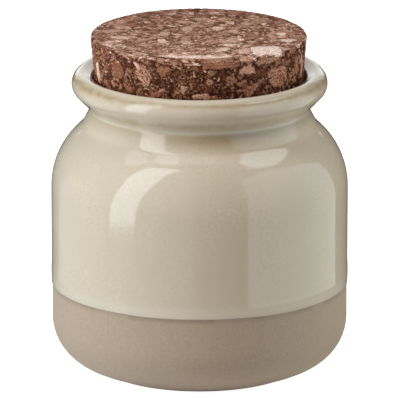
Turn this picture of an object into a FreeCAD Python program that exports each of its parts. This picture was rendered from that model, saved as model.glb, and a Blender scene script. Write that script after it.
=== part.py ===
# Stoneware storage jar with a cork stopper, in millimetres.
#
# The jar is one fired piece: a shallow recessed foot, a broad rounded bottom corner, a band of
# bare clay, a glazed wall whose lower edge stands proud as a bead, a wide shoulder, a pinched
# neck and a heavy rolled lip that falls like a funnel into the mouth. The stopper is a
# tapered disc of pressed cork granules that wedges in the mouth, on the bore's own taper.
#
# Origin: centre of the foot, on the table. +Z is up, and both pieces are turned about it.

import FreeCAD, Part
import math
import os

# ---- jar: overall sizes ----
jar_height = 113.3          # table to the crest of the lip, before its rounding
body_diameter = 110.0       # glazed wall at its widest
wall_thickness = 5.0
floor_thickness = 6.0       # from the recess under the foot to the inside floor

# ---- jar: foot and bottom corner ----
foot_diameter = 73.0        # outer edge of the ring that touches the table
foot_ring_width = 4.5
foot_recess = 1.2           # height of the recess inside the ring
foot_round = 0.7
base_slope = 22.0           # degrees that the underside rises outside the foot
corner_radius = 18.0        # big round between underside and wall
inner_corner_radius = 15.0

# ---- jar: bare clay and glaze ----
clay_height = 32.6          # table to the lower edge of the glaze
glaze_thickness = 0.4
glaze_edge_round = 0.25
bead_swell = 0.14           # extra thickness where the glaze gathered above its edge
bead_height = 9.0           # height over which it swells and thins again
bead_round = 30.0
wall_draft = 0.1            # how much narrower the glazed wall is just above the bead

# ---- jar: shoulder and neck ----
shoulder_slope = 46.0       # degrees from vertical where the shoulder is steepest
shoulder_radius = 29.0
neck_drop = 14.3            # crest of the lip down to the pinch of the neck
neck_wall = 3.35
neck_round = 1.0
cove_height = 6.55          # pinch down to the foot of the neck's cone
cove_flare = 3.4            # how much that cone widens
cove_radius = 6.6
inner_neck_radius = 8.0     # round between neck bore and inner shoulder

# ---- jar: lip and mouth ----
mouth_diameter = 75.8       # bore at the level of the stopper's underside
lip_land = 3.9              # edge of the mouth out to the crest
lip_overhang = 6.6          # crest out to the corner of the roll, before rounding
lip_drop = 4.1              # crest down to that corner
lip_radius = 4.9
crest_round = 2.1
funnel_drop = 2.1           # crest down to the edge of the mouth
mouth_round = 1.8
mouth_relief = 0.95         # gap beside the stopper at the edge of the mouth
seat_height = 4.5           # band of the bore that grips the stopper
seat_undercut = 0.5         # length of the seat below the stopper's underside
bore_step = 1.0             # neck bore inside the seat
bore_step_drop = 2.0
bore_step_round = 1.2

# ---- stopper ----
cork_height = 25.0
cork_insertion = 11.8       # crest of the lip down to the stopper's underside
cork_taper = 5.0            # degrees of the side from vertical, shared by the seat
cork_top_round = 1.4
cork_bottom_round = 1.0

# ---- shared levels and radii ----
body = body_diameter / 2
cork_bottom = jar_height - cork_insertion
cork_top = cork_bottom + cork_height
seat_slope = math.tan(math.radians(cork_taper))
seat_top = cork_bottom + seat_height
seat_end = cork_bottom - seat_undercut
bore = mouth_diameter / 2 - bore_step           # inside of the neck
pinch = bore + neck_wall                        # outside of the neck where it is narrowest
pinch_z = jar_height - neck_drop
cove = pinch + cove_flare                       # foot of the neck's cone, on the shoulder
cove_z = pinch_z - cove_height
shoulder_run = math.tan(math.radians(shoulder_slope))   # outward for each mm down the flank
shoulder_z = cove_z - (body - cove) / shoulder_run      # where the flank would meet the wall

LEG_SHARE = 0.96            # of a straight leg that the roundings at its ends may use
TINY = 1e-6                 # a rounding that reaches less than this is a sharp corner
AXIS = FreeCAD.Vector(0, 0, 1)


def cork_radius(z):
    """Radius of the stopper's tapered side at height z, which the seat in the mouth repeats."""
    return mouth_diameter / 2 + (z - cork_bottom) * seat_slope


def tangent_length(before, corner, after, radius):
    """Distance from a corner to where its rounding starts, and the turn that it makes."""
    turn = (corner - before).getAngle(after - corner)
    return radius * math.tan(turn / 2), turn


def outline(corners):
    """Edges through (radius, height, rounding) corners, each rounding a tangent arc.

    A rounding that its two legs can't hold shrinks until they can.
    """
    points = [FreeCAD.Vector(r, 0, z) for r, z, rounding in corners]
    last = len(points) - 1
    lengths = [0.0] * len(points)
    turns = [0.0] * len(points)
    for i in range(1, last):
        lengths[i], turns[i] = tangent_length(points[i - 1], points[i], points[i + 1], corners[i][2])
    legs = [(points[i + 1] - points[i]).Length for i in range(last)]
    fits = [min(1.0, LEG_SHARE * leg / max(lengths[i] + lengths[i + 1], TINY))
            for i, leg in enumerate(legs)]

    edges = []
    start = points[0]
    for i in range(1, last):
        reach = lengths[i] * min(fits[i - 1], fits[i])
        if reach < TINY:
            edges.append(Part.LineSegment(start, points[i]).toShape())
            start = points[i]
            continue
        back = (points[i - 1] - points[i]).normalize()
        ahead = (points[i + 1] - points[i]).normalize()
        radius = reach / math.tan(turns[i] / 2)
        inward = (back + ahead).normalize()
        middle = points[i] + inward * (radius / math.cos(turns[i] / 2) - radius)
        arc_start = points[i] + back * reach
        arc_end = points[i] + ahead * reach
        edges.append(Part.LineSegment(start, arc_start).toShape())
        edges.append(Part.Arc(arc_start, middle, arc_end).toShape())
        start = arc_end
    edges.append(Part.LineSegment(start, points[last]).toShape())
    return edges


def turned(corners):
    """Solid turned about the axis from an outline that starts and ends on it."""
    edges = outline(corners)
    top = FreeCAD.Vector(0, 0, corners[-1][1])
    bottom = FreeCAD.Vector(0, 0, corners[0][1])
    edges.append(Part.LineSegment(top, bottom).toShape())
    face = Part.Face(Part.Wire(edges))
    return face.revolve(FreeCAD.Vector(0, 0, 0), AXIS, 360)


def foot_corners():
    """Recess, foot ring and the start of the sloping underside."""
    outer = foot_diameter / 2
    inner = outer - foot_ring_width
    return [
        (0, foot_recess, 0),
        (inner - foot_recess, foot_recess, foot_round),
        (inner, 0, foot_round),
        (outer, 0, foot_round),
    ]


def wall_corners():
    """Bottom corner, bare clay, glaze edge with its bead, and the glazed wall's foot."""
    clay = body - glaze_thickness
    corner_height = (clay - foot_diameter / 2) * math.tan(math.radians(base_slope))
    return [
        (clay, corner_height, corner_radius),
        (clay, clay_height, 0),
        (body - wall_draft, clay_height + glaze_edge_round, glaze_edge_round),
        (body - wall_draft + bead_swell, clay_height + bead_height / 2, bead_round),
        (body - wall_draft, clay_height + bead_height, bead_round),
    ]


def outer_neck_corners():
    """Shoulder, cove and pinch, from the wall up."""
    return [
        (body, shoulder_z, shoulder_radius),
        (cove, cove_z, cove_radius),
        (pinch, pinch_z, neck_round),
    ]


def mouth_corners():
    """Roll of the lip, funnel, mouth edge and the tapered seat, from outside to inside."""
    edge_z = jar_height - funnel_drop
    edge = cork_radius(edge_z) + mouth_relief
    crest = edge + lip_land
    return [
        (crest + lip_overhang, jar_height - lip_drop, lip_radius),
        (crest, jar_height, crest_round),
        (edge, edge_z, mouth_round),
        (cork_radius(seat_top), seat_top, 0),
        (cork_radius(seat_end), seat_end, 0),
    ]


def inside_corners():
    """Neck bore, inner shoulder, inner wall and floor, from the mouth down to the axis."""
    inner = body - wall_thickness
    inner_shoulder_z = shoulder_z - wall_thickness * math.tan(math.radians(shoulder_slope) / 2)
    inner_neck_z = inner_shoulder_z + (inner - bore) / shoulder_run
    floor_z = foot_recess + floor_thickness
    return [
        (bore, seat_end - bore_step_drop, bore_step_round),
        (bore, inner_neck_z, inner_neck_radius),
        (inner, inner_shoulder_z, shoulder_radius - wall_thickness),
        (inner, floor_z, inner_corner_radius),
        (0, floor_z, 0),
    ]


def jar():
    """Stoneware jar, one solid."""
    return turned(foot_corners() + wall_corners() + outer_neck_corners() + mouth_corners()
                  + inside_corners())


def cork_lid():
    """Tapered cork stopper, seated face to face on the seat in the mouth."""
    return turned([
        (0, cork_bottom, 0),
        (cork_radius(cork_bottom), cork_bottom, cork_bottom_round),
        (cork_radius(cork_top), cork_top, cork_top_round),
        (0, cork_top, 0),
    ])


os.makedirs("parts", exist_ok=True)
for name, shape in (("jar", jar()), ("cork_lid", cork_lid())):
    shape.exportStep(f"parts/{name}.step")
    print(name, "valid", shape.isValid(), "volume", round(shape.Volume / 1000, 2), "cm3")
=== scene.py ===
import math

import bpy
import numpy as np
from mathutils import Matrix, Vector, kdtree, noise


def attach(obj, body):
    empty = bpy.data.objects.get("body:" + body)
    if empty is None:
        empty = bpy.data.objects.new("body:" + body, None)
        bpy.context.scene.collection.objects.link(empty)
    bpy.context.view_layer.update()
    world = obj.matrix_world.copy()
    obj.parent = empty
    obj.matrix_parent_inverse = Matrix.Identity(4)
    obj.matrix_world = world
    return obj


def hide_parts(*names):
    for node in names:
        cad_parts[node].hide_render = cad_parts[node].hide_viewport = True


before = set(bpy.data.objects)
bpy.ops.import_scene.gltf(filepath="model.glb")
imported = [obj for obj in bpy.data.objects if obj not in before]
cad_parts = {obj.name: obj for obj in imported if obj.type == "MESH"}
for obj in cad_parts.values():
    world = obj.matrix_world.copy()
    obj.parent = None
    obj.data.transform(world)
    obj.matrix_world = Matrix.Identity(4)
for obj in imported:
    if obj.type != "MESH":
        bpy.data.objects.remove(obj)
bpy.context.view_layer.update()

MM = 0.001
TINY = 1e-6

# ---------------------------------------------------------------- the CAD outline's values, in mm
JAR_HEIGHT = 113.3          # table to the crest of the lip, before its rounding
BODY = 55.0                 # radius of the glazed wall
WALL = 5.0
FLOOR = 6.0
FOOT = 36.5                 # outer radius of the ring that touches the table
FOOT_RING = 4.5
FOOT_RECESS = 1.2
FOOT_ROUND = 0.7
BASE_SLOPE = math.tan(math.radians(22.0))
CORNER_ROUND = 18.0
INNER_CORNER_ROUND = 15.0
CLAY_HEIGHT = 32.6          # table to the lower edge of the glaze
GLAZE = 0.4
GLAZE_EDGE_ROUND = 0.25
BEAD_SWELL = 0.14
BEAD_HEIGHT = 9.0
BEAD_ROUND = 30.0
WALL_DRAFT = 0.1
SHOULDER_ANGLE = math.radians(46.0)
SHOULDER_ROUND = 29.0
NECK_DROP = 14.3            # crest of the lip down to the pinch of the neck
NECK_WALL = 3.35
NECK_ROUND = 1.0
COVE_HEIGHT = 6.55
COVE_FLARE = 3.4
COVE_ROUND = 6.6
INNER_NECK_ROUND = 8.0
LIP_LAND = 3.9
LIP_OVERHANG = 6.6
LIP_DROP = 4.1
LIP_ROUND = 4.9
CREST_ROUND = 2.1
FUNNEL_DROP = 2.1
MOUTH = 37.9                # radius of the mouth at the level of the stopper's underside
MOUTH_ROUND = 1.8
MOUTH_RELIEF = 0.95
SEAT_HEIGHT = 4.5
SEAT_UNDERCUT = 0.5
BORE_STEP = 1.0
BORE_STEP_DROP = 2.0
BORE_STEP_ROUND = 1.2
CORK_BOTTOM = 101.5
CORK_TOP = 126.5
CORK_SLOPE = math.tan(math.radians(5.0))
LEG_SHARE = 0.96            # of a straight leg that the roundings at its ends may use

# ---------------------------------------------------------------- the jar's mesh and glaze, in mm
JAR_COLUMNS = 360
PROFILE_STEP = 2.2
PROFILE_TURN = math.radians(7.0)
LIP_FROM = 96.5             # above this height the outside has finer rows, for the lines of the glaze
LIP_STEP = 0.55
EDGE_RUN = 0.12             # how far the glaze's lower edge runs up and down
WALL_UNTRUE = 0.03          # mean distance that the wall strays inward
# (radius, height) of lines on the lip: the thin glaze on the roll, the painted shade under the roll, and
# the painted highlights in the pinch and at the mouth's edge
ROLL_LINE = (46.25, 111.1)
UNDER_ROLL_LINE = (43.6, 103.0)
PINCH_LINE = (40.7, 99.7)
MOUTH_LINE = (40.35, 111.6)

# ---------------------------------------------------------------- the stopper's mesh and skin, in mm
CORK_CELLS = 200            # quads across its top
CORK_EDGE = 0.8             # rounding of its top edge
CORK_ROW = 0.28             # height of a row down its side
SHOWN_FROM = 107.0          # below this height the mouth hides its side, which stays smooth
SHIFT_LEFT = 0.35           # how far it stands to the left above the mouth
CRUMBLED = 1.3              # depth of the crumbled front of its top edge
NO_CRACK = 9.0
NOISE_SEED = 8

# linear colours of the granules, from cracks to the palest
CORK_TONES = np.array([(0.028, 0.007, 0.002), (0.105, 0.036, 0.018), (0.22, 0.095, 0.055),
                       (0.40, 0.215, 0.145), (0.62, 0.395, 0.300), (0.86, 0.660, 0.560)])
REDDER = np.array([0.05, -0.12, -0.16])
# painted light: the side's colours are scaled up against the top's, standing in for more light on the side
SIDE_PAINTED_LIGHT = 1.22

# share, tone and the tone's spread of dark, middling, light and pale crumb
SIDE_CRUMB = ((0.34, 0.40, 0.24, 0.02), (0.13, 0.36, 0.55, 0.74), (0.05, 0.08, 0.08, 0.1))
TOP_CRUMB = ((0.27, 0.41, 0.28, 0.04), (0.29, 0.54, 0.74, 0.88), (0.07, 0.08, 0.08, 0.05))

# the larger granules that stand out: place (azimuth and height, or x and y), half length and breadth,
# turn in degrees, cut sides (0 is round), tone, redness, and spacing, strength and bend of its lines
SIDE_CHIPS = [
    (-71.4, 115.5, 4.4, 2.0, 95, 0, 0.74, 0.3, None),
    (-49, 119.5, 3.5, 3.1, 0, 0, 0.36, 0.75, (1.6, 0.14, 0.12)),
    (-30.3, 119.8, 4.3, 4.2, -35, 6, 0.58, 0.45, (1.5, 0.5, 0.22)),
    (-19, 122.6, 3.4, 2.3, 0, 5, 0.42, 0.9, (1.3, 0.15, 0.1)),
    (-60, 112.4, 3.2, 1.4, -30, 5, 0.46, 0.7, None),
    (-41, 113.4, 3.2, 1.5, -20, 5, 0.4, 0.65, (1.2, 0.12, 0.1)),
    (-24, 112.9, 2.6, 1.3, 20, 5, 0.42, 0.8, None),
    (-35, 123.4, 2.8, 0.7, -50, 4, 0.7, 0.4, None),
    (1.3, 112.9, 3.9, 1.15, 3, 4, 0.64, 0.4, (0.9, 0.14, 0.0)),
    (12, 125.2, 7.5, 1.9, 0, 4, 0.4, 0.7, None),
    (-8, 115.2, 1.4, 1.8, 0, 5, 0.6, 0.3, None),
    (6, 118.8, 1.5, 1.2, 0, 0, 0.5, 0.9, None),
    (23, 117.2, 2.4, 1.2, 25, 5, 0.46, 0.5, None),
    (33, 120.3, 5.2, 2.0, 0, 4, 0.22, 0.6, (1.3, 0.18, 0.0)),
    (30, 114.6, 2.4, 6.4, -57, 3, 0.52, 0.95, (1.6, 0.3, 0.1)),
    (27.4, 122.3, 3.8, 2.5, -6, 3, 0.68, 0.8, (0.9, 0.14, 0.2)),
    (40, 124.6, 6.6, 1.5, 4, 0, 0.56, 0.3, (1.2, 0.24, 0.02)),
    (47.6, 117.8, 6.6, 4.5, -14, 7, 0.57, 0.7, (1.5, 0.3, 0.1)),
    (40.6, 117.3, 1.9, 0.5, 12, 5, 0.06, 0.5, None),
    (50.5, 116.3, 2.4, 1.0, -20, 5, 0.46, 0.8, None),
    (66, 119, 2.4, 4.0, 10, 5, 0.46, 0.6, (0.9, 0.25, 0.0)),
    (76, 116, 1.2, 4.2, -8, 4, 0.56, 0.4, None),
    (-2, 123.6, 2.2, 1.0, 8, 5, 0.34, 0.7, None),
]
TOP_CHIPS = [
    (-28.7, -4.2, 4.9, 3.0, -24, 6, 0.79, 0.4, (1.8, 0.12, 0.1)),
    (25.0, -23.0, 5.6, 6.2, 8, 4, 0.88, 0.2, (2.4, 0.06, 0.1)),
    (8.0, 10.6, 2.2, 1.3, 0, 5, 0.92, 0.3, None),
    (13.0, 5.0, 2.2, 3.4, 20, 5, 0.72, 0.3, None),
    (32.8, -8.5, 3.2, 2.6, 10, 5, 0.86, 0.3, None),
    (30.6, 1.2, 2.1, 2.0, 0, 5, 0.9, 0.3, None),
    (22.5, 20.0, 4.6, 4.0, 30, 6, 0.62, 0.2, (1.6, 0.3, 0.1)),
    (1.6, 23.5, 3.4, 2.6, 0, 6, 0.68, 0.2, None),
    (-10, 31, 2.4, 2.0, 0, 5, 0.8, 0.3, None),
    (-31.8, 5.5, 5.0, 3.0, 5, 6, 0.64, 0.1, None),
    (-29.2, 11.2, 2.6, 2.6, 0, 5, 0.68, 0.2, None),
    (-4.2, 8.0, 3.0, 4.6, 0, 6, 0.7, 0.2, None),
    (-12.5, 1.4, 1.8, 3.0, 0, 0, 0.72, 0.4, None),
    (-13.4, -9.3, 2.4, 3.4, 15, 5, 0.8, 0.3, None),
    (11.0, -9.1, 3.7, 2.7, 0, 4, 0.72, 0.3, (2.2, 0.3, 0.0)),
    (10.9, -14.8, 3.3, 2.2, 0, 5, 0.84, 0.3, None),
    (9.2, -21.6, 2.4, 3.4, 0, 5, 0.84, 0.4, None),
    (16.6, -24.0, 3.4, 4.6, 10, 6, 0.74, 0.6, (1.1, 0.16, 0.3)),
]

# ---------------------------------------------------------------- linear colours of glaze and clay
GLAZE_SPECKS = (0.512, 0.437, 0.333), (0.553, 0.474, 0.369)
GLAZE_CLOUDS = (0.522, 0.445, 0.345)
# pale thick glaze, and also the colour of the painted highlight lines in the pinch and at the mouth's edge
GLAZE_THICK_AND_HIGHLIGHT = (0.64, 0.59, 0.49)
# ochre thin glaze, and also the colour of the painted shade under the lip's roll
GLAZE_THIN_AND_SHADE = (0.34, 0.245, 0.14)
CLAY_SPECKS = (0.335, 0.258, 0.188), (0.395, 0.306, 0.227)
# painted shadow, in a line right under the glaze's lower edge
CLAY_IN_PAINTED_SHADOW = (0.16, 0.10, 0.05)
GLAZE_ROUGHNESS = 0.08
CLAY_ROUGHNESS = 0.82

# ---------------------------------------------------------------- lamps: azimuth, elevation and watts
LAMP_DISTANCE = 0.9
LAMP_SIZE = 0.3
LAMPS = {
    "left": (-75, 4, (2.35, 3.7, 5.0)),
    "left_low": (-100, 4, (2.15, 2.1, 1.8)),
    "key_middle": (-50, 32, (2.5, 1.5, 0.35)),
    "key_high": (-50, 60, (3.15, 3.8, 4.6)),
    "right_high": (50, 60, (2.8, 2.9, 2.9)),
    "right_low": (105, 4, (3.95, 4.05, 3.8)),
}
AIM_HEIGHT = 0.06
WORLD_LIGHT = 0.08
FLOOR_SEEN = 0.90
FLOOR_LIGHT = 0.04

# circles round the jar for the cards, in metres
NEAR = 0.160
FAR = 0.275
FRONT = 0.290
BACK = 0.300
NONE = (0, 0, 0)

# ---------------------------------------------------------------- camera
CAMERA_DISTANCE = 4.0
CAMERA_ELEVATION = math.radians(15.39)
CAMERA_LENS = 971.7
CAMERA_AIM = (0.00015, 0, 0.06324)


# ---------------------------------------------------------------- outline
def cork_radius(z):
    """Radius of the stopper's tapered side, which the seat in the mouth repeats."""
    return MOUTH + (z - CORK_BOTTOM) * CORK_SLOPE


def jar_corners():
    """(radius, height, rounding) corners of the jar's outline, from under the foot to the inside floor."""
    clay = BODY - GLAZE
    drafted = BODY - WALL_DRAFT
    shoulder_run = math.tan(SHOULDER_ANGLE)
    pinch_z = JAR_HEIGHT - NECK_DROP
    cove_z = pinch_z - COVE_HEIGHT
    bore = MOUTH - BORE_STEP
    pinch = bore + NECK_WALL
    cove = pinch + COVE_FLARE
    shoulder_z = cove_z - (BODY - cove) / shoulder_run
    edge_z = JAR_HEIGHT - FUNNEL_DROP
    edge = cork_radius(edge_z) + MOUTH_RELIEF
    crest = edge + LIP_LAND
    seat_top = CORK_BOTTOM + SEAT_HEIGHT
    seat_end = CORK_BOTTOM - SEAT_UNDERCUT
    inner = BODY - WALL
    inner_shoulder_z = shoulder_z - WALL * math.tan(SHOULDER_ANGLE / 2)
    floor_z = FOOT_RECESS + FLOOR
    return [
        (0, FOOT_RECESS, 0),
        (FOOT - FOOT_RING - FOOT_RECESS, FOOT_RECESS, FOOT_ROUND),
        (FOOT - FOOT_RING, 0, FOOT_ROUND),
        (FOOT, 0, FOOT_ROUND),
        (clay, (clay - FOOT) * BASE_SLOPE, CORNER_ROUND),
        (clay, CLAY_HEIGHT, 0),
        (drafted, CLAY_HEIGHT + GLAZE_EDGE_ROUND, GLAZE_EDGE_ROUND),
        (drafted + BEAD_SWELL, CLAY_HEIGHT + BEAD_HEIGHT / 2, BEAD_ROUND),
        (drafted, CLAY_HEIGHT + BEAD_HEIGHT, BEAD_ROUND),
        (BODY, shoulder_z, SHOULDER_ROUND),
        (cove, cove_z, COVE_ROUND),
        (pinch, pinch_z, NECK_ROUND),
        (crest + LIP_OVERHANG, JAR_HEIGHT - LIP_DROP, LIP_ROUND),
        (crest, JAR_HEIGHT, CREST_ROUND),
        (edge, edge_z, MOUTH_ROUND),
        (cork_radius(seat_top), seat_top, 0),
        (cork_radius(seat_end), seat_end, 0),
        (bore, seat_end - BORE_STEP_DROP, BORE_STEP_ROUND),
        (bore, inner_shoulder_z + (inner - bore) / shoulder_run, INNER_NECK_ROUND),
        (inner, inner_shoulder_z, SHOULDER_ROUND - WALL),
        (inner, floor_z, INNER_CORNER_ROUND),
        (0, floor_z, 0),
    ]


def rounded(corners):
    """Straight runs and tangent arcs through the corners, as a list of (start, end, centre or None)."""
    points = [np.array(c[:2], float) for c in corners]
    legs = [np.linalg.norm(b - a) for a, b in zip(points, points[1:])]
    turns = [0.0] * len(points)
    reach = [0.0] * len(points)
    for i in range(1, len(points) - 1):
        a = (points[i] - points[i - 1]) / legs[i - 1]
        b = (points[i + 1] - points[i]) / legs[i]
        turns[i] = math.acos(max(-1.0, min(1.0, float(a @ b))))
        reach[i] = corners[i][2] * math.tan(turns[i] / 2)
    fit = [min(1.0, LEG_SHARE * leg / max(reach[i] + reach[i + 1], TINY)) for i, leg in enumerate(legs)]
    runs = []
    start = points[0]
    for i in range(1, len(points) - 1):
        length = reach[i] * min(fit[i - 1], fit[i])
        back = (points[i - 1] - points[i]) / legs[i - 1]
        ahead = (points[i + 1] - points[i]) / legs[i]
        if length < TINY:
            runs.append((start, points[i], None))
            start = points[i]
            continue
        radius = length / math.tan(turns[i] / 2)
        inward = (back + ahead) / np.linalg.norm(back + ahead)
        centre = points[i] + inward * radius / math.cos(turns[i] / 2)
        first = points[i] + back * length
        last = points[i] + ahead * length
        runs.append((start, first, None))
        runs.append((first, last, centre))
        start = last
    runs.append((start, points[-1], None))
    return runs


def sampled(runs, step, turn_step):
    """Points along the runs, at most step apart and, on arcs, at most turn_step radians."""
    out = [runs[0][0]]
    for start, end, centre in runs:
        if centre is None:
            length = np.linalg.norm(end - start)
            if length < TINY:
                continue
            count = max(1, math.ceil(length / step))
            out.extend(start + (end - start) * k / count for k in range(1, count + 1))
            continue
        a, b = start - centre, end - centre
        turn = math.atan2(a[0] * b[1] - a[1] * b[0], float(a @ b))
        radius = np.linalg.norm(a)
        count = max(2, math.ceil(abs(turn) / turn_step), math.ceil(abs(turn) * radius / step))
        for k in range(1, count + 1):
            angle = turn * k / count
            c, s = math.cos(angle), math.sin(angle)
            out.append(centre + np.array([c * a[0] - s * a[1], s * a[0] + c * a[1]]))
    return np.array(out)


def refined(profile, step, low, high):
    """The profile with points at most step apart on its outside between two heights."""
    out = [profile[0]]
    for a, b in zip(profile, profile[1:]):
        count = 1
        if min(a[1], b[1]) > low and max(a[1], b[1]) < high and min(a[0], b[0]) > MOUTH + 1.0:
            count = max(1, math.ceil(np.linalg.norm(b - a) / step))
        out.extend(a + (b - a) * k / count for k in range(1, count + 1))
    return np.array(out)


# ---------------------------------------------------------------- meshes and waves
def new_mesh(name, points, faces, smooth=True):
    """Object with this name from points in mm."""
    mesh = bpy.data.meshes.new(name)
    mesh.from_pydata((np.asarray(points) * MM).tolist(), [], faces)
    mesh.polygons.foreach_set("use_smooth", np.full(len(mesh.polygons), smooth))
    mesh.update()
    obj = bpy.data.objects.new(name, mesh)
    bpy.context.scene.collection.objects.link(obj)
    return obj


def point_values(obj, name, values):
    """Store one number, or one colour, per point of the mesh."""
    values = np.asarray(values, float)
    if values.ndim == 1:
        layer = obj.data.attributes.new(name, "FLOAT", "POINT")
        layer.data.foreach_set("value", values)
    else:
        layer = obj.data.attributes.new(name, "FLOAT_COLOR", "POINT")
        rgba = np.hstack([values, np.ones((len(values), 1))])
        layer.data.foreach_set("color", rgba.ravel())


def smoothstep(low, high, value):
    """0 below low, 1 above high and a smooth rise between them."""
    t = np.clip((value - low) / (high - low), 0, 1)
    return t * t * (3 - 2 * t)


def waves(azimuth, terms, rng, decay=1.0):
    """Smooth closed curve around the axis, about -1 to 1."""
    total = np.zeros_like(azimuth)
    weight = 0
    for k in terms:
        total += np.sin(k * azimuth + rng.uniform(0, 2 * np.pi)) / k ** decay
        weight += 1 / k ** (2 * decay)
    return total / math.sqrt(weight / 2) / 2


# ---------------------------------------------------------------- jar
def jar_faces(rows, columns):
    """Quads between the rows, and fans to the middle of the recess and of the inside floor."""
    faces = []
    for j in range(rows - 1):
        for i in range(columns):
            k = (i + 1) % columns
            faces.append((j * columns + i, j * columns + k, (j + 1) * columns + k, (j + 1) * columns + i))
    recess = rows * columns
    last = recess - columns
    for i in range(columns):
        k = (i + 1) % columns
        faces.append((k, i, recess))
        faces.append((last + i, last + k, recess + 1))
    return faces


def glaze_values(profile, r, z, az, outside, edge_wave):
    """Where the jar is glazed, where its glaze is thin or thick, and where shade, highlights and a shadow
    under the glaze's lower edge are painted, for each point.
    """
    from_edge = np.abs(profile[:, 0] - (BODY - GLAZE)) + np.abs(profile[:, 1] - CLAY_HEIGHT)
    edge_row = int(np.argmin(from_edge))
    glazed = np.repeat((np.arange(len(profile)) > edge_row)[:, None], r.shape[1], axis=1).astype(float)

    def around_line(line, breadth):
        return np.exp(-(np.hypot(r - line[0], z - line[1]) / breadth) ** 2) * outside

    # the glaze is thin and shows ochre where the roll of the lip turns over; below the roll, on the lip's
    # underside, the same ochre is painted shade
    to_back = np.abs(np.sin(az / 2)) ** 1.2
    thin_and_shade = np.maximum(around_line(ROLL_LINE, 0.75 + 2.0 * to_back) * (0.85 + 0.4 * to_back),
                      around_line(UNDER_ROLL_LINE, 2.6) * 0.75)
    # it is thick and pale above its lower edge; the pale lines in the pinch of the neck and at the edge of
    # the mouth are painted highlights
    above = np.where(outside, z - CLAY_HEIGHT, 99.0)
    bead = np.exp(-((above - 2.0) / 2.2) ** 2) * (above > 0)
    thick_and_highlight = bead + 2.1 * around_line(PINCH_LINE, 0.8) + around_line(MOUTH_LINE, 0.6)
    # painted shadow: a dark line right under its lower edge, where the glaze's step shades the clay
    edge_shadow = np.exp(-((above + 0.3) / 0.45) ** 2) * (above <= 0.05) * (0.6 + 0.4 * edge_wave[None, :])
    return glazed, thin_and_shade, thick_and_highlight, edge_shadow


def make_jar():
    """The jar, turned from its outline, with its glaze's values on its points."""
    rng = np.random.default_rng(11)
    profile = sampled(rounded(jar_corners()), PROFILE_STEP, PROFILE_TURN)
    profile = refined(profile[1:-1], LIP_STEP, LIP_FROM, JAR_HEIGHT)
    rows = len(profile)
    azimuth = np.linspace(0, 2 * np.pi, JAR_COLUMNS, endpoint=False)
    r = np.repeat(profile[:, 0:1], JAR_COLUMNS, axis=1)
    z = np.repeat(profile[:, 1:2], JAR_COLUMNS, axis=1)
    az = np.repeat(azimuth[None, :], rows, axis=0)
    outside = (np.arange(rows) <= int(np.argmax(profile[:, 1])))[:, None]

    # the glaze's lower edge runs a little up and down, and the wall is not perfectly true
    edge_wave = waves(azimuth, range(2, 15), rng, 0.7)
    near_edge = np.exp(-((z - CLAY_HEIGHT) / 3.0) ** 2) * outside
    z = z + EDGE_RUN * edge_wave[None, :] * near_edge
    wall = smoothstep(34, 45, z) * (1 - smoothstep(96, 99, z)) * outside
    swell = sum(waves(azimuth, (k, k + 2), rng)[None, :] * np.sin(z / period + rng.uniform(0, 6))
                for k, period in ((3, 9.0), (5, 6.0), (8, 4.5)))
    r = r - WALL_UNTRUE * wall * (1 + swell / 2)

    points = np.stack([r * np.sin(az), -r * np.cos(az), z], axis=-1).reshape(-1, 3)
    points = np.vstack([points, [[0, 0, FOOT_RECESS], [0, 0, FOOT_RECESS + FLOOR]]])
    obj = new_mesh("jar_stoneware", points, jar_faces(rows, JAR_COLUMNS))

    # the last two points are the middles of the recess, which is bare, and of the inside floor
    names = ("glazed", "thin_and_shade", "thick_and_highlight", "painted_edge_shadow")
    for name, values in zip(names, glaze_values(profile, r, z, az, outside, edge_wave)):
        inside_floor = 1.0 if name == "glazed" else 0.0
        point_values(obj, name, np.concatenate([values.ravel(), [0.0, inside_floor]]))
    return obj


# ---------------------------------------------------------------- cork
def disc_point(u, v, radius):
    """Square (-1..1) to disc, keeping areas even."""
    by_u = np.abs(u) > np.abs(v)
    far = np.where(by_u, u, v)
    near = np.where(by_u, v, u)
    turn = (np.pi / 4) * near / np.where(far == 0, 1, far)
    angle = np.where(by_u, turn, np.pi / 2 - turn)
    return radius * far * np.cos(angle), radius * far * np.sin(angle)


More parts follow.
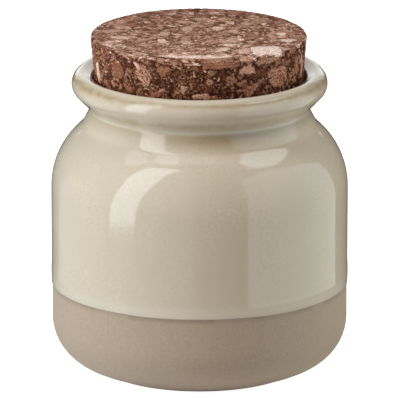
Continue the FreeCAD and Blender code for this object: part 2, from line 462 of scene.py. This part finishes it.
def cork_grid():
    """Points, faces and outward directions of the stopper, before its granules."""
    n = CORK_CELLS
    ring = 4 * n
    edge = CORK_EDGE
    rim = cork_radius(CORK_TOP)
    ticks = np.linspace(-1, 1, n + 1)
    x, y = disc_point(*np.meshgrid(ticks, ticks, indexing="ij"), rim - edge * 0.92)
    top = np.stack([x, y, np.full_like(x, CORK_TOP)], -1).reshape(-1, 3)
    index = np.arange((n + 1) ** 2).reshape(n + 1, n + 1)
    corners = [index[:-1, :-1], index[1:, :-1], index[1:, 1:], index[:-1, 1:]]
    faces = np.stack(corners, -1).reshape(-1, 4).tolist()
    # the border of the disc, counterclockwise from above
    border = list(index[n, :n]) + list(index[n:0:-1, n]) + list(index[0, n:0:-1]) + list(index[:n, 0])
    angle = np.arctan2(top[border, 1], top[border, 0])

    # rows down the side: the rounded edge, fine rows to inside the mouth, then a few coarse ones
    rows = []
    for turn in np.radians((28, 52, 76)):
        rows.append((rim - edge * 0.96 * (1 - math.sin(turn)), CORK_TOP - edge * (1 - math.cos(turn))))
    heights = list(np.arange(CORK_TOP - edge - 0.1, SHOWN_FROM + 0.8, -CORK_ROW))
    heights += [106.5, 105.0, 103.5, 102.4]
    rows += [(cork_radius(z), z) for z in heights]
    rows.append((cork_radius(CORK_BOTTOM) - 0.3, CORK_BOTTOM + 0.25))
    rows.append((cork_radius(CORK_BOTTOM) - 1.0, CORK_BOTTOM))
    radii, levels = np.array(rows).T
    side = np.stack([radii[:, None] * np.cos(angle), radii[:, None] * np.sin(angle),
                     np.repeat(levels[:, None], ring, axis=1)], -1)
    points = np.vstack([top, side.reshape(-1, 3), [[0, 0, CORK_BOTTOM]]])
    above = list(border)
    for j in range(len(rows)):
        below = [len(top) + j * ring + i for i in range(ring)]
        faces += [(above[i], below[i], below[(i + 1) % ring], above[(i + 1) % ring]) for i in range(ring)]
        above = below
    faces += [(above[i], len(points) - 1, above[(i + 1) % ring]) for i in range(ring)]

    out = np.zeros_like(points)
    out[:len(top), 2] = 1
    lean = smoothstep(CORK_TOP - edge, CORK_TOP, levels)[:, None, None]
    level = np.stack([np.cos(angle), np.sin(angle), np.full(ring, -CORK_SLOPE)], -1)
    turned = level * (1 - lean) + np.array([0, 0, 1.0]) * lean
    turned /= np.linalg.norm(turned, axis=-1, keepdims=True)
    out[len(top):-1] = turned.reshape(-1, 3)
    out[-1] = (0, 0, -1)
    return points, faces, out, len(top)


def on_side(azimuth, z):
    """Place on the stopper's side, with its level and upward directions."""
    a = math.radians(azimuth)
    r = cork_radius(z)
    return (np.array([r * math.sin(a), -r * math.cos(a), z]), np.array([math.cos(a), math.sin(a), 0.0]),
            np.array([0.0, 0.0, 1.0]))


def on_top(x, y):
    """Place on the stopper's top, with its directions to the right and away from the front."""
    return np.array([x, y, CORK_TOP]), np.array([1.0, 0, 0]), np.array([0, 1.0, 0])


class Granules:
    """What each point of the stopper shows: a granule's tone and colour, and the cracks between them."""

    def __init__(self, points, rng):
        self.rng = rng
        self.count = len(points)
        self.tree = kdtree.KDTree(self.count)
        for i, p in enumerate(points):
            self.tree.insert(p, i)
        self.tree.balance()
        coarse = np.array([noise.noise_vector(Vector(p) * 0.55) for p in points])
        fine = np.array([noise.noise_vector(Vector(p) * 1.9) for p in points])
        self.bent = points + 0.75 * coarse + 0.42 * fine
        self.fine = fine[:, 0]
        self.coarse = coarse[:, 1]
        self.tone = np.full(self.count, 0.1)
        self.red = np.zeros(self.count)
        self.lift = np.zeros(self.count)
        self.crack = np.full(self.count, NO_CRACK)

    def spread(self, place, turn, reach, thickness):
        """Points near a place, and how far along and across a turned granule they lie."""
        where, level, up = place
        ids = np.array([i for _, i, _ in self.tree.find_range(where, reach)], int)
        c, s = math.cos(turn), math.sin(turn)
        offset = self.bent[ids] - where if len(ids) else np.zeros((0, 3))
        flat = np.abs(offset @ np.cross(level, up)) < thickness
        return ids[flat], offset[flat] @ (c * level + s * up), offset[flat] @ (c * up - s * level)

    def crumb(self, seeds):
        """Fill the skin with small stretched cells, each with a crack around it.

        A seed is a place, size, stretch, turn, tone, redness and lift.
        """
        first = np.full(self.count, NO_CRACK)
        second = np.full(self.count, NO_CRACK)
        owner = np.zeros(self.count, int)
        for index, (place, size, stretch, turn, *_) in enumerate(seeds):
            ids, along, across = self.spread(place, turn, size * 3.0, 1.2)
            if not len(ids):
                continue
            a, b = np.abs(along), np.abs(across)
            d = np.maximum(a / (size * stretch) + 0.35 * b * stretch / size,
                           b * stretch / size + 0.35 * a / (size * stretch))
            nearest, next_one = first[ids], second[ids]
            better = d < nearest
            second[ids] = np.where(better, nearest, np.minimum(next_one, d))
            first[ids] = np.where(better, d, nearest)
            owner[ids] = np.where(better, index, owner[ids])
        sizes, tones, reds, lifts = (np.array([s[k] for s in seeds])[owner] for k in (1, 4, 5, 6))
        self.crack = (second - first) * sizes * 0.8
        self.tone, self.red, self.lift = tones, reds, lifts

    def chip(self, place, half_long, half_short, turn, sides, tone, red, lift=0.0, lines=None):
        """One larger granule over what is there: round for 0 sides, else with that many cut sides."""
        ids, along, across = self.spread(place, turn, max(half_long, half_short) * 1.5 + 0.6, 1.2)
        if not len(ids):
            return
        a, b = along / half_long, across / half_short
        if sides == 0:
            d = (np.abs(a) ** 2.3 + np.abs(b) ** 2.3) ** (1 / 2.3)
        elif sides == 4:
            d = (np.abs(a) ** 7 + np.abs(b) ** 7) ** (1 / 7)
        else:
            d = np.zeros(len(ids))
            for k in range(sides):
                angle = 2 * np.pi * (k + 0.25 + self.rng.uniform(-0.25, 0.25) * (sides > 3)) / sides
                reach = self.rng.uniform(0.72, 1.0) if sides > 3 else 0.62
                d += np.clip((a * math.cos(angle) + b * math.sin(angle)) / reach, 0, None) ** 7
            d = d ** (1 / 7)
        edge = (d - 1) * min(half_long, half_short)
        inside = edge < 0
        here = ids[inside]
        shade = np.full(len(here), float(tone))
        if lines:
            spacing, strength, bend = lines
            wave = np.sin(2 * np.pi * (across[inside] + bend * along[inside] ** 2) / spacing
                          + 2.5 * self.coarse[here] + 1.2 * self.fine[here])
            shade -= strength * np.clip(wave, 0, 1) ** 2
        self.tone[here] = shade
        self.red[here] = red
        self.lift[here] = lift
        self.crack[here] = -edge[inside]
        close = ids[~inside]
        self.crack[close] = np.minimum(self.crack[close], edge[~inside] + 0.12)


def crumb_seeds(rng, some_side, some_top):
    """Seeds of the fine crumb over the side and the top."""
    seeds = []
    for place, amount, low, high, (shares, tones, spreads), sink in (
            (some_side, 8200, 0.30, 0.80, SIDE_CRUMB, 0.35), (some_top, 4600, 0.45, 1.1, TOP_CRUMB, 0.1)):
        for kind in rng.choice(4, amount, p=shares):
            seeds.append((place(), rng.uniform(low, high), rng.uniform(1.0, 1.9), rng.uniform(0, np.pi),
                          rng.normal(tones[kind], spreads[kind]), rng.random(), -rng.uniform(0, sink)))
    # where the top's front edge has crumbled away, the crumb is as dark as on the side
    for k, (place, size, stretch, turn, tone, red, lift) in enumerate(seeds):
        x, y, z = place[0]
        if z == CORK_TOP and y < -31.5 and math.hypot(x, y) > 34.6 and -17 < x < 19:
            seeds[k] = (place, size * 0.8, stretch, turn, tone - 0.25, red, lift)
    return seeds


def add_chips(skin, rng, some_side, some_top):
    """Scattered granules in two sizes, then the ones that stand out."""
    for place, amount, low, high, tones, sink in (
            (some_side, 620, 0.7, 1.5, (0.43, 0.17), 0.25), (some_top, 360, 0.9, 2.0, (0.68, 0.13), 0.0),
            (some_side, 90, 1.5, 2.8, (0.42, 0.12), 0.1), (some_top, 90, 2.0, 3.2, (0.66, 0.10), 0.0)):
        for _ in range(amount):
            size = rng.uniform(low, high)
            lines = (rng.uniform(0.8, 1.6), rng.uniform(0.05, 0.3), rng.uniform(-0.1, 0.1))
            skin.chip(place(), size, size * rng.uniform(0.35, 0.9), rng.uniform(0, np.pi),
                      int(rng.integers(4, 8)), rng.normal(*tones), rng.random(),
                      -rng.uniform(0, sink), lines if size > 1.2 else None)
    for put, chips in ((on_side, SIDE_CHIPS), (on_top, TOP_CHIPS)):
        for u, v, half_long, half_short, turn, sides, tone, red, lines in chips:
            skin.chip(put(u, v), half_long, half_short, math.radians(turn), sides, tone, red, 0.0, lines)


def wear(skin, points, azimuth, radius, top):
    """Set the tone of the worn stretches near the top's edge.

    Returns the share of the front stretch, and of the stretches without cracks, for each point.
    """
    front = smoothstep(-26, -18, azimuth) * (1 - smoothstep(18, 27, azimuth))
    rubbed = front * smoothstep(28, 32, radius + 2 * skin.coarse)
    rubbed = rubbed * (1 - smoothstep(34.4, 35.0, radius)) * top
    skin.tone = skin.tone + (0.97 + 0.1 * skin.coarse - skin.tone) * 0.75 * rubbed
    smooth_right = smoothstep(2, 5, azimuth) * (1 - smoothstep(19, 22, azimuth))
    smooth_right *= smoothstep(34.6, 35.2, radius) * (points[:, 2] > CORK_TOP - 1.7)
    skin.tone = skin.tone + (0.42 + 0.12 * skin.fine - skin.tone) * 0.8 * smooth_right
    left_line = smoothstep(-54, -48, azimuth) * (1 - smoothstep(-26, -20, azimuth))
    left_line *= np.exp(-((radius - 38.6) / 0.6) ** 2) * top * smoothstep(-0.2, 0.1, skin.coarse)
    skin.tone = skin.tone + (0.9 - skin.tone) * 0.8 * left_line
    return front, np.clip(rubbed + smooth_right, 0, 1)


def make_cork():
    """The stopper, with granules in relief and their colours on its points."""
    rng = np.random.default_rng(23)
    noise.seed_set(NOISE_SEED)
    points, faces, out, top_count = cork_grid()
    top = np.zeros(len(points), bool)
    top[:top_count] = True
    azimuth = np.degrees(np.arctan2(points[:, 0], -points[:, 1]))
    radius = np.hypot(points[:, 0], points[:, 1])

    def some_side():
        return on_side(rng.uniform(-180, 180), rng.uniform(SHOWN_FROM - 0.5, CORK_TOP + 0.4))

    def some_top():
        r = (cork_radius(CORK_TOP) + 0.5) * math.sqrt(rng.random())
        a = rng.uniform(0, 2 * np.pi)
        return on_top(r * math.sin(a), r * math.cos(a))

    skin = Granules(points, rng)
    skin.crumb(crumb_seeds(rng, some_side, some_top))
    add_chips(skin, rng, some_side, some_top)
    front, smooth = wear(skin, points, azimuth, radius, top)

    # the relief: cracks, sunk granules, the crumbled front and what has broken out of the edge
    breadth = np.clip(0.15 + 0.25 * skin.coarse, 0.03, 0.4)
    dark = (1 - smoothstep(0.25 * breadth, breadth + 0.1, skin.crack)) * (1 - 0.85 * smooth)
    depth = 0.45 * dark - skin.lift
    depth = np.where(top, depth * 0.3, depth)
    at_edge = smoothstep(CORK_TOP - 2.5, CORK_TOP - 0.5, points[:, 2])
    depth = depth + CRUMBLED * front * smoothstep(34.4, 39.6, radius) * at_edge
    broken = smoothstep(0.12, 0.3, skin.coarse) * smoothstep(CORK_TOP - 1.5, CORK_TOP - 0.7, points[:, 2])
    broken *= smoothstep(38.4, 39.2, radius) * (np.abs(azimuth) < 62)
    depth = depth + 0.35 * broken
    depth[points[:, 2] < SHOWN_FROM] = 0
    points[:, 0] -= SHIFT_LEFT * smoothstep(104, 112, points[:, 2])
    obj = new_mesh("cork_stopper", points - out * depth[:, None], faces)

    # the top is paler toward the front and darker toward the back
    tone = skin.tone + 0.12 * skin.fine + 0.06 * skin.coarse - 0.25 * broken - 0.0025 * points[:, 1] * top
    tone = np.clip(tone, 0.04, 0.98) * (1 - dark * np.where(top, 0.66, 0.86))
    steps = np.linspace(0, 1, len(CORK_TONES))
    colour = np.stack([np.interp(tone, steps, CORK_TONES[:, c]) for c in range(3)], -1)
    colour = colour * (1 + (skin.red - 0.5)[:, None] * REDDER)
    # painted light on the side: its colours are scaled up against the top's
    point_values(obj, "granules", colour * np.where(top, 1.0, SIDE_PAINTED_LIGHT)[:, None])
    return obj


# ---------------------------------------------------------------- materials
class Nodes:
    """Small helper that adds and links shader nodes."""

    def __init__(self, name):
        self.material = bpy.data.materials.new(name)
        self.material.use_nodes = True
        self.tree = self.material.node_tree
        self.shader = self.tree.nodes["Principled BSDF"]

    def add(self, kind, inputs=None, **settings):
        node = self.tree.nodes.new(kind)
        for key, value in settings.items():
            setattr(node, key, value)
        for key, value in (inputs or {}).items():
            socket = node.inputs[key]
            if isinstance(value, bpy.types.NodeSocket):
                self.tree.links.new(value, socket)
            else:
                socket.default_value = value
        return node

    def link(self, output, key):
        self.tree.links.new(output, self.shader.inputs[key])

    def value(self, name):
        return self.add("ShaderNodeAttribute", attribute_name=name).outputs["Fac"]

    def math(self, operation, a, b=0.0, c=0.0):
        node = self.add("ShaderNodeMath", operation=operation)
        for socket, value in zip(node.inputs, (a, b, c)):
            if isinstance(value, bpy.types.NodeSocket):
                self.tree.links.new(value, socket)
            else:
                socket.default_value = value
        return node.outputs[0]

    def mix(self, factor, a, b, blend="MIX"):
        node = self.add("ShaderNodeMix", data_type="RGBA", blend_type=blend)
        for key, value in ((0, factor), (6, a), (7, b)):
            if isinstance(value, bpy.types.NodeSocket):
                self.tree.links.new(value, node.inputs[key])
            elif key == 0:
                node.inputs[key].default_value = value
            else:
                node.inputs[key].default_value = (*value, 1.0)
        return node.outputs[2]

    def ramp(self, factor, low, high):
        node = self.add("ShaderNodeMapRange", {0: factor, 1: low, 2: high})
        return node.outputs[0]


def jar_material():
    """Glossy cream glaze, which shows ochre where it is thin, over dull bare clay, with painted shade
    under the lip's roll, painted highlights in the pinch and at the mouth, and a painted shadow under the
    glaze's edge.
    """
    m = Nodes("stoneware_jar")
    place = m.add("ShaderNodeTexCoord").outputs["Object"]

    def noise_of(scale, detail):
        return m.add("ShaderNodeTexNoise", {"Vector": place, "Scale": scale, "Detail": detail}).outputs[0]

    glaze = m.mix(m.ramp(noise_of(900.0, 2.0), 0.35, 0.65), *GLAZE_SPECKS)
    glaze = m.mix(m.ramp(noise_of(60.0, 3.0), 0.35, 0.7), glaze, GLAZE_CLOUDS)
    # pale thick glaze above the lower edge, and painted highlight lines in the pinch and at the mouth's
    # edge
    glaze = m.mix(m.math("MULTIPLY", m.value("thick_and_highlight"), 0.45), glaze, GLAZE_THICK_AND_HIGHLIGHT)
    # ochre thin glaze on the roll, and painted shade under it
    thin_and_shade = m.math("MULTIPLY", m.value("thin_and_shade"), m.ramp(noise_of(260.0, 4.0), 0.05, 0.65))
    glaze = m.mix(thin_and_shade, glaze, GLAZE_THIN_AND_SHADE)
    grain = noise_of(1500.0, 2.0)
    clay = m.mix(m.ramp(grain, 0.3, 0.7), *CLAY_SPECKS)
    # painted shadow: dark clay in a line right under the glaze's lower edge
    clay = m.mix(m.math("MULTIPLY", m.value("painted_edge_shadow"), 0.6), clay, CLAY_IN_PAINTED_SHADOW)
    glazed = m.value("glazed")
    m.link(m.mix(glazed, clay, glaze), "Base Color")
    roughness = m.math("MULTIPLY_ADD", glazed, GLAZE_ROUGHNESS - CLAY_ROUGHNESS, CLAY_ROUGHNESS)
    m.link(roughness, "Roughness")
    height = m.mix(glazed, grain, noise_of(420.0, 2.0))
    bump = m.add("ShaderNodeBump", {"Height": height, "Strength": 0.06, "Distance": 0.0002})
    m.link(bump.outputs[0], "Normal")
    return m.material


def cork_material():
    """The granules' colours with a fine dull grain."""
    m = Nodes("pressed_cork")
    place = m.add("ShaderNodeTexCoord").outputs["Object"]
    colour = m.add("ShaderNodeAttribute", attribute_name="granules").outputs["Color"]
    grain = {"Vector": place, "Scale": 1900.0, "Detail": 4.0, "Roughness": 0.65}
    fine = m.add("ShaderNodeTexNoise", grain)
    factor = m.ramp(fine.outputs[0], 0.3, 0.7)
    darker = m.mix(1.0, colour, (0.38, 0.33, 0.32), "MULTIPLY")
    lighter = m.mix(1.0, colour, (1.6, 1.6, 1.6), "MULTIPLY")
    m.link(m.mix(factor, darker, lighter), "Base Color")
    m.shader.inputs["Roughness"].default_value = 0.85
    m.shader.inputs["Specular IOR Level"].default_value = 0.15
    bump = m.add("ShaderNodeBump", {"Height": fine.outputs[0], "Strength": 0.5, "Distance": 0.0003})
    m.link(bump.outputs[0], "Normal")
    return m.material


# ---------------------------------------------------------------- stage, lamps and camera
def around(azimuth, radius, z):
    """Point at an azimuth in degrees from the front, towards +X, in metres."""
    a = math.radians(azimuth)
    return Vector((radius * math.sin(a), -radius * math.cos(a), z))


def lamp(name, azimuth, elevation, watts):
    """Soft lamp with its red, green and blue power; the cards stand for it in reflections."""
    data = bpy.data.lights.new(name, "AREA")
    data.shape = "RECTANGLE"
    data.size = LAMP_SIZE
    data.size_y = LAMP_SIZE
    data.energy = max(watts)
    data.color = [w / data.energy for w in watts]
    obj = bpy.data.objects.new(name, data)
    target = Vector((0, 0, AIM_HEIGHT))
    level = LAMP_DISTANCE * math.cos(math.radians(elevation))
    obj.location = target + around(azimuth, level, LAMP_DISTANCE * math.sin(math.radians(elevation)))
    obj.rotation_euler = (target - obj.location).to_track_quat("-Z", "Y").to_euler()
    obj.visible_glossy = False
    bpy.context.scene.collection.objects.link(obj)


def card(name, points, light, faces=None):
    """Studio card that only shows in reflections, with its light's red, green and blue."""
    faces = faces or [tuple(range(len(points)))]
    obj = new_mesh(name, np.array([tuple(p) for p in points]) / MM, faces, False)
    material = bpy.data.materials.new(name)
    material.use_nodes = True
    tree = material.node_tree
    tree.nodes.clear()
    emission = tree.nodes.new("ShaderNodeEmission")
    strength = max(light)
    emission.inputs[0].default_value = (*(c / strength for c in light), 1) if strength else (0, 0, 0, 1)
    emission.inputs[1].default_value = strength
    output = tree.nodes.new("ShaderNodeOutputMaterial")
    tree.links.new(emission.outputs[0], output.inputs[0])
    obj.data.materials.append(material)
    obj.visible_camera = False
    obj.visible_diffuse = False
    obj.visible_shadow = False
    obj.visible_transmission = False
    obj.visible_volume_scatter = False


def strip(name, pairs, light):
    """Card made of the quads between pairs of points."""
    points = [p for pair in pairs for p in pair]
    faces = [(2 * k, 2 * k + 1, 2 * k + 3, 2 * k + 2) for k in range(len(pairs) - 1)]
    card(name, points, light, faces)


def between(rows, step):
    """Rows of numbers with more put in where the first or second moves by over a step."""
    out = [rows[0]]
    for a, b in zip(rows, rows[1:]):
        count = max(1, math.ceil(abs(b[0] - a[0]) / step))
        out.extend(tuple(p + (q - p) * k / count for p, q in zip(a, b)) for k in range(1, count + 1))
    return out


def standing(name, edges, radius, light):
    """Card on a circle round the jar, from (azimuth, low, high) of its upright edges."""
    pairs = [(around(a, radius, low), around(a, radius, high)) for a, low, high in between(edges, 6)]
    strip(name, pairs, light)


def ring(name, arcs, height, light):
    """Level card, from (radius, azimuth, azimuth) of its arcs."""
    count = max(1, math.ceil(max(abs(b - a) for _, a, b in arcs) / 6))
    points = []
    for radius, a, b in arcs:
        points += [around(a + (b - a) * k / count, radius, height) for k in range(count + 1)]
    faces = []
    for j in range(len(arcs) - 1):
        for k in range(count):
            i = j * (count + 1) + k
            faces.append((i, i + 1, i + count + 2, i + count + 1))
    card(name, points, light, faces)


def leaning(name, levels, radius, light):
    """Card on a circle round the jar, from (height, azimuth, azimuth) of its level edges."""
    pairs = []
    for z, a, b in levels:
        pairs.append([around(a, radius, z), around((a + b) / 2, radius, z), around(b, radius, z)])
    points = [p for row in pairs for p in row]
    faces = []
    for k in range(len(levels) - 1):
        faces.append((3 * k, 3 * k + 1, 3 * k + 4, 3 * k + 3))
        faces.append((3 * k + 1, 3 * k + 2, 3 * k + 5, 3 * k + 4))
    card(name, points, light, faces)


def flag(name, azimuth, reach, top):
    """Dark card that stands out from the jar's side and follows its outline."""
    inner_edge = ((0.0556, 0), (0.0556, 0.079), (0.0405, 0.085), (0.0405, 0.106), (0.046, top))
    strip(name, [(around(azimuth, r, z), around(azimuth, reach, z)) for r, z in inner_edge], NONE)


def seen_by_eye(tree):
    """Socket that is 1 for rays of the camera, reflections and glass, and 0 for all others."""
    path = tree.nodes.new("ShaderNodeLightPath")
    total = path.outputs["Is Camera Ray"]
    for name in ("Is Glossy Ray", "Is Transmission Ray"):
        add = tree.nodes.new("ShaderNodeMath")
        add.operation = "ADD"
        add.use_clamp = True
        tree.links.new(total, add.inputs[0])
        tree.links.new(path.outputs[name], add.inputs[1])
        total = add.outputs[0]
    return total


def make_world():
    """White to the eye, and a weak even light on the jar."""
    world = bpy.data.worlds.new("studio")
    bpy.context.scene.world = world
    world.use_nodes = True
    tree = world.node_tree
    background = tree.nodes["Background"]
    strength = tree.nodes.new("ShaderNodeMapRange")
    strength.inputs[3].default_value = WORLD_LIGHT
    strength.inputs[4].default_value = 1.0
    tree.links.new(seen_by_eye(tree), strength.inputs[0])
    background.inputs[0].default_value = (1, 1, 1, 1)
    tree.links.new(strength.outputs[0], background.inputs[1])


def make_floor():
    """White floor that keeps the jar's shadow."""
    corners = np.array([(-9, -9, 0), (9, -9, 0), (9, 9, 0), (-9, 9, 0)]) / MM
    floor = new_mesh("floor", corners, [(0, 1, 2, 3)], False)
    material = bpy.data.materials.new("floor")
    material.use_nodes = True
    tree = material.node_tree
    tree.nodes.clear()
    diffuse = tree.nodes.new("ShaderNodeBsdfDiffuse")
    diffuse.inputs[0].default_value = (0.8, 0.8, 0.8, 1)
    emission = tree.nodes.new("ShaderNodeEmission")
    strength = tree.nodes.new("ShaderNodeMath")
    strength.operation = "MULTIPLY_ADD"
    strength.inputs[1].default_value = FLOOR_SEEN
    strength.inputs[2].default_value = FLOOR_LIGHT
    tree.links.new(seen_by_eye(tree), strength.inputs[0])
    tree.links.new(strength.outputs[0], emission.inputs[1])
    both = tree.nodes.new("ShaderNodeAddShader")
    tree.links.new(diffuse.outputs[0], both.inputs[0])
    tree.links.new(emission.outputs[0], both.inputs[1])
    output = tree.nodes.new("ShaderNodeOutputMaterial")
    tree.links.new(both.outputs[0], output.inputs[0])
    floor.data.materials.append(material)


def make_cards():
    """What the glaze reflects."""
    # the room around the jar and the table close to it are dark, but behind the jar it is white
    # above a low strip
    standing("dark_room", [(-180, 0, 0.13), (-146, 0, 0.13), (-145, 0, 0.9), (145, 0, 0.9),
                           (146, 0, 0.13), (180, 0, 0.13)], BACK, NONE)
    ring("dark_table", [(0.062, -180, 180), (0.30, -180, 180)], 0.0006, NONE)
    # the camera's left side is a little lighter
    side_light = (0.45, 0.42, 0.45)
    standing("front_left", [(-47, 0, 0.6), (-4.5, 0, 0.6)], FRONT, side_light)
    ring("front_left_table", [(0.075, -32, -3.3), (0.10, -36.6, -3.6), (0.16, -41.7, -4.1),
                              (0.29, -45.2, -4.5)], 0.001, side_light)
    # a tall softbox that leans over the jar, and its gleam on the table in front of it
    leaning("key_box", [(0.0, -68.0, -46.6), (0.02, -66.8, -46.2), (0.113, -63.6, -43.4),
                        (0.19, -62, -40.2)], FAR, (3.6, 4.05, 4.2))
    leaning("key_box_top", [(0.19, -62, -40.2), (0.26, -62, -36.5), (0.34, -60.5, -33.8),
                            (0.40, -59, -32.0), (0.44, -57, -29.5), (0.47, -52, -26.5),
                            (0.50, -42, -24.5), (0.53, -30, -23.5)], FAR, (3.9, 4.3, 4.5))
    leaning("key_ceiling", [(0.57, -70, -52), (0.66, -65, -33), (0.76, -60, -33), (0.88, -52, -36)],
            FAR, (2.2, 2.4, 2.6))
    ring("key_gleam", [(0.075, -48.5, -33), (0.10, -55.5, -38), (0.16, -63, -43),
                       (FAR, -68, -46.6)], 0.0014, (0.55, 0.45, 0.45))
    # a low panel on the right, one on the left, and the corners of two overhead boxes
    standing("right_panel", [(31.6, 0, 0.19), (37.7, 0, 0.195), (54, 0, 0.212), (68.5, 0, 0.196),
                             (91, 0, 0.164), (104.5, 0, 0.13), (113.5, 0, 0.03)], NEAR, (1.0, 1.2, 1.2))
    standing("left_panel", [(-123.5, 0, 0.02), (-119.5, 0, 0.05), (-108, 0, 0.09), (-73.5, 0, 0.105),
                            (-67, 0, 0.076), (-64.7, 0, 0.03)], NEAR, (0.5, 0.5, 0.52))
    standing("right_box", [(57, 0.44, 0.64), (64, 0.385, 0.64), (72, 0.36, 0.64), (80, 0.34, 0.60),
                           (88, 0.335, 0.52), (97, 0.335, 0.43), (108, 0.325, 0.34)], FAR, (2.7, 3.1, 3.2))
    standing("left_box", [(-94, 0.41, 0.43), (-79, 0.352, 0.537), (-72, 0.38, 0.545),
                          (-65, 0.53, 0.55)], FAR, (1.4, 1.8, 1.95))
    # behind the jar, for the mouth's funnel and the crest of the lip
    standing("back_glow", [(153, 0.110, 0.34), (207, 0.110, 0.34)], FAR, (1.6, 1.6, 1.55))
    # flags placed for views from a quarter turn and from behind, where they keep the bright boxes out
    # of the edge of the jar's outline; they change the front view by a few levels of 255 at most
    flag("flag_front", 0, 0.078, 0.125)
    flag("flag_back", 131, 0.072, 0.109)
    flag("flag_left", -131, 0.072, 0.109)
    # the ceiling's right part
    ring("ceiling_right", [(0.02, 30, 150), (0.27, 30, 150)], 0.66, (0.5, 0.5, 0.55))


def make_camera():
    """Long lens a little above the jar."""
    camera = bpy.data.objects.new("camera", bpy.data.cameras.new("camera"))
    camera.data.sensor_width = 36
    camera.data.lens = CAMERA_LENS
    camera.data.clip_end = 50
    direction = Vector((0, -math.cos(CAMERA_ELEVATION), math.sin(CAMERA_ELEVATION)))
    camera.location = Vector(CAMERA_AIM) + direction * CAMERA_DISTANCE
    camera.rotation_euler = (math.pi / 2 - CAMERA_ELEVATION, 0, 0)
    bpy.context.scene.collection.objects.link(camera)
    bpy.context.scene.camera = camera


def stage():
    bpy.context.scene.view_settings.view_transform = "Standard"
    make_world()
    make_floor()
    for name, (azimuth, elevation, watts) in LAMPS.items():
        lamp(name, azimuth, elevation, watts)
    make_cards()
    make_camera()


jar_piece = make_jar()
jar_piece.data.materials.append(jar_material())
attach(jar_piece, "root")
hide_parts("jar")

cork_piece = make_cork()
cork_piece.data.materials.append(cork_material())
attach(cork_piece, "root")
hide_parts("cork_lid")

stage()
